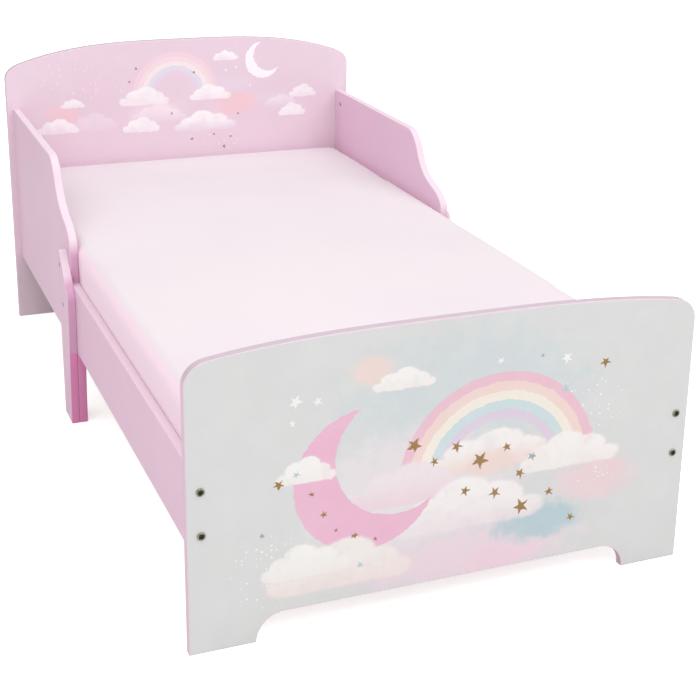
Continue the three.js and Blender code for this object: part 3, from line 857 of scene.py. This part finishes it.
# ---------------------------------------------------------------------------
# Mattress
# A 100 mm foam mattress in a white woven ticking. It drops in between the boards and
# lies on the slats, a little crowned on top.
# ---------------------------------------------------------------------------
mattress_low, mattress_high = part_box("mattress")
MATTRESS_STEP = 0.014
PLAN_RADIUS = 0.035
TOP_RADIUS = 0.026
BOTTOM_RADIUS = 0.008
SWELL_LIMIT = 0.006
SWELL_ROOM = Vector((-0.014, -0.0045, 0.003))
SLAT_GAP = 0.0008
HEM_ROOM = 0.0034
HEM_WIDTH = 0.055
HEM_BLEND = 0.02
RAIL_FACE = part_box("side_rail_right")[0].x
RAIL_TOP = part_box("side_rail_right")[1].z
GUARD_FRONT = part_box("guard_panel_right")[0].y
GUARD_CLEARANCE = 0.008
GUARD_BLEND = 0.03
END_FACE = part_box("headboard")[0].y
FOAM_GAP = 0.0016
SHEET_CLEARANCE = 0.0002
# How far the bedding may bulge over a low rail: it follows the rail's rounded edge, then leans out.
BULGE_HEIGHTS = (RAIL_TOP - 0.0015, RAIL_TOP + 0.0006, RAIL_TOP + 0.005)
BULGE = (0.0, 0.0012, 0.0024)
# Points this close to a bulge height move onto it, so that the cut there leaves no thin row.
FOLD_SNAP = 0.00104


def shade_smooth(mesh):
    for face in mesh.polygons:
        face.use_smooth = True


def fill_mesh(mesh, shape):
    """Turns a finished bmesh into this mesh, shaded smooth."""
    shape.to_mesh(mesh)
    shape.free()
    shade_smooth(mesh)


def slab_mesh(name, low, high, plan_radius, bottom_radius, top_radius, step):
    """A closed slab in even quads, rounded in plan at its corners and along its edges."""
    centre = (low + high) / 2
    half = (high - low) / 2
    counts = [max(2, round(2 * h / step)) for h in half]
    shape = bmesh.new()
    for axis in range(3):
        first, second = [a for a in range(3) if a != axis]
        for end in (-1, 1):
            rows = []
            for i in range(counts[first] + 1):
                row = []
                for j in range(counts[second] + 1):
                    at = [0.0, 0.0, 0.0]
                    at[axis] = end * half[axis]
                    at[first] = half[first] * (2 * i / counts[first] - 1)
                    at[second] = half[second] * (2 * j / counts[second] - 1)
                    row.append(shape.verts.new(at))
                rows.append(row)
            for i in range(counts[first]):
                for j in range(counts[second]):
                    shape.faces.new((rows[i][j], rows[i + 1][j], rows[i + 1][j + 1], rows[i][j + 1]))
    bmesh.ops.remove_doubles(shape, verts=shape.verts, dist=step / 20)
    bmesh.ops.recalc_face_normals(shape, faces=shape.faces)
    for vert in shape.verts:
        x, y, z = vert.co
        core = Vector((
            max(-half.x + plan_radius, min(half.x - plan_radius, x)),
            max(-half.y + plan_radius, min(half.y - plan_radius, y)),
        ))
        arm = Vector((x, y)) - core
        out_to = max(abs(arm.x), abs(arm.y))
        edge_radius = top_radius if z > 0 else bottom_radius
        beyond_edge = max(0.0, out_to - (plan_radius - edge_radius))
        above_edge = max(0.0, abs(z) - (half.z - edge_radius))
        if beyond_edge > 0 and above_edge > 0:
            squeeze = max(beyond_edge, above_edge) / math.hypot(beyond_edge, above_edge)
            out_to += beyond_edge * (squeeze - 1)
            z = math.copysign(half.z - edge_radius + above_edge * squeeze, z)
        if arm.length > 0:
            core += arm.normalized() * out_to
        vert.co = Vector((core.x, core.y, z)) + centre
    mesh = bpy.data.meshes.new(name)
    fill_mesh(mesh, shape)
    return mesh


def link(name, mesh):
    made = bpy.data.objects.new(name, mesh)
    bpy.context.scene.collection.objects.link(made)
    return made


def positions(mesh):
    flat = np.zeros(len(mesh.vertices) * 3)
    mesh.vertices.foreach_get("co", flat)
    return flat.reshape(-1, 3)


def set_positions(mesh, points):
    mesh.vertices.foreach_set("co", points.ravel())
    mesh.update()


def apply_modifiers(piece):
    """Replaces the piece's mesh by its evaluated one, and clears its modifiers."""
    evaluated = piece.evaluated_get(bpy.context.evaluated_depsgraph_get())
    mesh = bpy.data.meshes.new_from_object(evaluated)
    piece.modifiers.clear()
    piece.data = mesh


def swell(piece, pressure, limit, frames):
    """Inflates a padded piece as cloth, with no point moving further than limit. The foam inside
    keeps its footprint, so no point is drawn in."""
    start = positions(piece.data)
    cloth = piece.modifiers.new("cloth", "CLOTH")
    cloth.settings.use_pressure = True
    cloth.settings.uniform_pressure_force = pressure
    cloth.settings.effector_weights.gravity = 0.0
    cloth.settings.mass = 0.3
    cloth.settings.tension_stiffness = 25
    cloth.settings.compression_stiffness = 25
    cloth.settings.bending_stiffness = 3
    cloth.point_cache.frame_start = 1
    cloth.point_cache.frame_end = frames
    for step in range(1, frames + 1):
        bpy.context.scene.frame_set(step)
    apply_modifiers(piece)
    bpy.context.scene.frame_set(1)
    moved = positions(piece.data) - start
    drawn_in = moved[:, :2] * np.sign(start[:, :2]) < 0
    moved[:, :2][drawn_in] = 0.0
    length = np.linalg.norm(moved, axis=1, keepdims=True)
    capped = moved * (limit * np.tanh(length / limit) / np.maximum(length, 1e-9))
    set_positions(piece.data, start + capped)


def hold_in(points, gap):
    """Keeps points this far inside the boards. Ahead of the guards they may bulge over the rails."""
    above_rail = np.interp(points[:, 2], BULGE_HEIGHTS, BULGE)
    before_guard = np.clip((GUARD_FRONT - GUARD_CLEARANCE - points[:, 1]) / GUARD_BLEND, 0, 1)
    reach = RAIL_FACE - gap + above_rail * before_guard
    points[:, 0] = np.clip(points[:, 0], -reach, reach)
    points[:, 1] = np.clip(points[:, 1], gap - END_FACE, END_FACE - gap)


foam_slab = slab_mesh(
    "mattress_foam",
    mattress_low + SWELL_ROOM,
    mattress_high - SWELL_ROOM,
    PLAN_RADIUS,
    BOTTOM_RADIUS,
    TOP_RADIUS,
    MATTRESS_STEP,
)
mattress = link("mattress_foam", foam_slab)
swell(mattress, pressure=4.0, limit=SWELL_LIMIT, frames=16)
subdivide = mattress.modifiers.new("subdivide", "SUBSURF")
subdivide.levels = 1
subdivide.render_levels = 1
apply_modifiers(mattress)
shape = bmesh.new()
shape.from_mesh(mattress.data)
for height in BULGE_HEIGHTS:
    everything = [*shape.verts, *shape.edges, *shape.faces]
    bmesh.ops.bisect_plane(
        shape,
        geom=everything,
        dist=FOLD_SNAP,
        plane_co=(0, 0, height),
        plane_no=(0, 0, 1),
        use_snap_center=True,
    )
fill_mesh(mattress.data, shape)

foam = positions(mattress.data)
inset_x = mattress_high.x - np.abs(foam[:, 0])
inset_y = mattress_high.y - np.abs(foam[:, 1])
inset = np.minimum(inset_x, inset_y)
slat_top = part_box("slat_01")[1].z
hem_room = HEM_ROOM * (1 - np.clip((inset - HEM_WIDTH) / HEM_BLEND, 0, 1))
floor_height = slat_top + SLAT_GAP + hem_room
foam[:, 2] = np.maximum(foam[:, 2], floor_height)
hold_in(foam, FOAM_GAP)
foam[:, 2] = np.minimum(foam[:, 2], mattress_high.z)
set_positions(mattress.data, foam)

ticking = cloth_material("ticking", srgb(246, 244, 242), srgb(232, 229, 227), 0.0009, 0.15, 0.0004)
mattress.data.materials.append(ticking)
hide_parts("mattress")
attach(mattress, "bedding")


# ---------------------------------------------------------------------------
# Fitted sheet
# A pale pink cotton sheet pulled over the mattress. Elastic gathers its hem underneath,
# and it is tight on top, with a few soft pulls.
# ---------------------------------------------------------------------------
SHEET_GAP = 0.0004
SHEET_THICKNESS = 0.0008
HEM_REACH = 0.045
GATHER_START = 0.012
GATHER_LENGTH = 0.025
GATHER_HEIGHT = 0.0012
GATHER_WAVE = 0.027
EASE = 0.0003
SOFT_PULL = 0.0004
TOP_CREASE = 0.0001
SIDE_CREASE = 0.0009
UNDERSIDE = mattress_low.z + 0.02


def from_edge(spot):
    """How far in from the nearest side of the mattress a spot lies."""
    return min(mattress_high.x - abs(spot.x), mattress_high.y - abs(spot.y))


sheet_mesh = mattress.data.copy()
sheet_mesh.name = "fitted_sheet_cloth"
sheet_mesh.materials.clear()
shape = bmesh.new()
shape.from_mesh(sheet_mesh)
under = []
for face in shape.faces:
    spot = face.calc_center_median()
    if spot.z < UNDERSIDE and from_edge(spot) > HEM_REACH:
        under.append(face)
bmesh.ops.delete(shape, geom=under, context="FACES")
shape.normal_update()
for vert in shape.verts:
    spot = vert.co.copy()
    lift = SHEET_GAP
    pull = noise.noise(Vector((spot.x * 7, spot.y * 5, spot.z * 9)))
    fine = noise.noise(Vector((spot.x * 21 + 4, spot.y * 17, spot.z * 26)))
    on_wall = max(0.0, 1 - abs(vert.normal.z) * 1.4)
    crease = (TOP_CREASE + SIDE_CREASE * on_wall) * max(0.0, fine)
    lift += max(0.0, EASE + SOFT_PULL * pull + crease)
    if spot.z < UNDERSIDE and abs(vert.normal.z) > 0.8:
        lift = SHEET_GAP
        by_end = mattress_high.y - abs(spot.y) < mattress_high.x - abs(spot.x)
        run = spot.x if by_end else spot.y
        gather = max(0.0, min(1.0, (from_edge(spot) - GATHER_START) / GATHER_LENGTH))
        lift += GATHER_HEIGHT * gather * (0.5 + 0.5 * math.sin(run / GATHER_WAVE * 2 * math.pi))
    vert.co = spot + vert.normal * lift
shape.to_mesh(sheet_mesh)
shape.free()
cloth_points = positions(sheet_mesh)
hold_in(cloth_points, SHEET_CLEARANCE + SHEET_THICKNESS)
set_positions(sheet_mesh, cloth_points)
sheet = link("fitted_sheet_cloth", sheet_mesh)
thick = sheet.modifiers.new("thick", "SOLIDIFY")
thick.thickness = SHEET_THICKNESS
thick.offset = 1.0
apply_modifiers(sheet)
shade_smooth(sheet.data)

cotton = cloth_material(
    "cotton",
    srgb(220, 211, 215),
    srgb(217, 207, 212),
    pitch=0.0005,
    sheen=0.2,
    thread_relief=0.0003,
    # Painted shade: the sheet's sides are pinker than its top.
    side_shade_colour=srgb(243, 214, 229),
)
sheet.data.materials.append(cotton)
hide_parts("fitted_sheet")
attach(sheet, "bedding")

# Each corner is a dart, sewn as a narrow felled seam from the hem up over the edge.
SEAM_HALF_WIDTH = 0.0022
SEAM_HEIGHT = 0.0007
SEAM_SIDE = ((-1.0, -0.4), (-0.8, 0.7), (-0.45, 1.0))
SEAM_PROFILE = (*SEAM_SIDE, (0.0, 0.85), *((-across, rise) for across, rise in reversed(SEAM_SIDE)))
SEAM_START = 0.009
SEAM_END_LEAN = 1.2
STITCH_STEP = 0.0032
STITCH_PINCH = 0.16
TAPER_END = 0.35
TAPER_STEPS = 6
PROBE = 0.12
sheet_surface = BVHTree.FromPolygons(
    [vert.co for vert in sheet.data.vertices],
    [tuple(face.vertices) for face in sheet.data.polygons],
)
for number, (side_x, side_y) in enumerate(((-1, -1), (1, -1), (1, 1), (-1, 1)), start=1):
    outward = Vector((side_x, side_y, 0.0)).normalized()
    bend = Vector((
        side_x * (RAIL_FACE - PLAN_RADIUS),
        side_y * (END_FACE - PLAN_RADIUS),
        mattress_high.z - TOP_RADIUS,
    ))
    rays = []
    for height in np.arange(mattress_low.z + SEAM_START, bend.z, STITCH_STEP / 2):
        rays.append((Vector((bend.x, bend.y, height)), outward))
    for lean in np.arange(0.0, SEAM_END_LEAN, STITCH_STEP / 2 / TOP_RADIUS):
        rays.append((bend, outward * math.cos(lean) + Vector((0.0, 0.0, math.sin(lean)))))
    across_seam = Vector((-outward.y, outward.x, 0.0))
    shape = bmesh.new()
    rings = []
    for step, (start, direction) in enumerate(rays):
        spot = sheet_surface.ray_cast(start + direction * PROBE, -direction, PROBE)[0]
        taper = min(1.0, TAPER_END + (len(rays) - 1 - step) / TAPER_STEPS)
        pinch = 1.0 - STITCH_PINCH * (step % 2)
        ring = []
        for sideways, rise in SEAM_PROFILE:
            reach = spot + across_seam * (sideways * SEAM_HALF_WIDTH * taper)
            ring.append(shape.verts.new(reach + direction * (rise * SEAM_HEIGHT * pinch * taper)))
        rings.append(ring)
    for ring, next_ring in zip(rings, rings[1:]):
        for n in range(len(SEAM_PROFILE)):
            m = (n + 1) % len(SEAM_PROFILE)
            shape.faces.new((ring[n], ring[m], next_ring[m], next_ring[n]))
    shape.faces.new(rings[0])
    shape.faces.new(rings[-1][::-1])
    bmesh.ops.recalc_face_normals(shape, faces=shape.faces)
    seam_mesh = bpy.data.meshes.new(f"sheet_corner_seam_{number}")
    fill_mesh(seam_mesh, shape)
    seam = link(seam_mesh.name, seam_mesh)
    seam_mesh.materials.append(cotton)
    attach(seam, "bedding")


# ---------------------------------------------------------------------------
# Studio
# A white floor that runs out to a white room, and four large soft lamps: overhead, left,
# right and behind. The camera looks down at the foot end from the bed's left.
# ---------------------------------------------------------------------------
FLOOR_HALF = 9.0
FLOOR_DROP = 0.0005
FLOOR_GLOW = 0.62
ROOM_LIGHT = 0.6
ROOM_WHITE = 1.0
floor_shape = bmesh.new()
bmesh.ops.create_grid(floor_shape, x_segments=8, y_segments=8, size=FLOOR_HALF)
floor_mesh = bpy.data.meshes.new("studio_floor")
floor_shape.to_mesh(floor_mesh)
floor_shape.free()
floor = link("studio_floor", floor_mesh)
floor.location.z = -FLOOR_DROP
floor_paint, tree, shader = new_material("studio_floor_paint")
point = tree.nodes.new("ShaderNodeTexCoord").outputs["Object"]
dust = ramp(tree, grain_noise(tree, point, 3.0, 4.0)[0], 0.3, 0.7)
seen = tree.nodes.new("ShaderNodeLightPath").outputs["Is Camera Ray"]
floor_white = laid_over(tree, dust, srgb(251, 251, 251), srgb(253, 253, 253))
put(tree, shader.inputs["Base Color"], laid_over(tree, seen, srgb(236, 236, 236), floor_white))
shader.inputs["Roughness"].default_value = 0.9
shader.inputs["Specular IOR Level"].default_value = 0.1
shader.inputs["Emission Color"].default_value = (1.0, 1.0, 1.0, 1.0)
put(tree, shader.inputs["Emission Strength"], calc(tree, "MULTIPLY", seen, FLOOR_GLOW))
floor.data.materials.append(floor_paint)

room = bpy.data.worlds.new("studio_room")
room.use_nodes = True
tree = room.node_tree
walls = tree.nodes["Background"]
walls.inputs["Color"].default_value = (1.0, 1.0, 1.0, 1.0)
seen = tree.nodes.new("ShaderNodeLightPath").outputs["Is Camera Ray"]
put(tree, walls.inputs["Strength"], ramp(tree, seen, 0.0, 1.0, ROOM_LIGHT, ROOM_WHITE))
bpy.context.scene.world = room

LAMP_AIM = Vector((0.0, 0.0, 0.3))
for name, place_at, size, power in (
    ("overhead_lamp", (0.6, -0.9, 3.4), 4.0, 62.0),
    ("left_lamp", (-2.2, -3.2, 3.4), 3.0, 50.0),
    ("rear_lamp", (-1.6, 0.2, 3.6), 3.0, 26.0),
    ("right_lamp", (2.2, -3.6, 3.0), 2.6, 37.0),
):
    lamp_data = bpy.data.lights.new(name, "AREA")
    lamp_data.size = size
    lamp_data.energy = power
    lamp = bpy.data.objects.new(name, lamp_data)
    bpy.context.scene.collection.objects.link(lamp)
    lamp.location = place_at
    aim = LAMP_AIM - lamp.location
    lamp.rotation_mode = "QUATERNION"
    lamp.rotation_quaternion = aim.to_track_quat("-Z", "Y")

CAMERA_AZIMUTH = math.radians(-22.9)
CAMERA_ELEVATION = math.radians(17.909)
CAMERA_ROLL = math.radians(1.131)
CAMERA_DISTANCE = 2.6798
LOOK_AT = Vector((0.1763, -0.021, 0.2945))
camera_data = bpy.data.cameras.new("camera")
camera_data.lens = 73.36
camera_data.shift_x = -0.0429
camera_data.shift_y = -0.1286
camera = bpy.data.objects.new("camera", camera_data)
bpy.context.scene.collection.objects.link(camera)
back = Vector((
    math.sin(CAMERA_AZIMUTH) * math.cos(CAMERA_ELEVATION),
    -math.cos(CAMERA_AZIMUTH) * math.cos(CAMERA_ELEVATION),
    math.sin(CAMERA_ELEVATION),
))
level = Vector((0.0, 0.0, 1.0)).cross(back).normalized()
upright = back.cross(level)
right = level * math.cos(CAMERA_ROLL) + upright * math.sin(CAMERA_ROLL)
up = upright * math.cos(CAMERA_ROLL) - level * math.sin(CAMERA_ROLL)
turn = Matrix((right, up, back)).transposed().to_4x4()
camera.matrix_world = Matrix.Translation(LOOK_AT + back * CAMERA_DISTANCE) @ turn
bpy.context.scene.camera = camera
bpy.context.scene.view_settings.view_transform = "Standard"
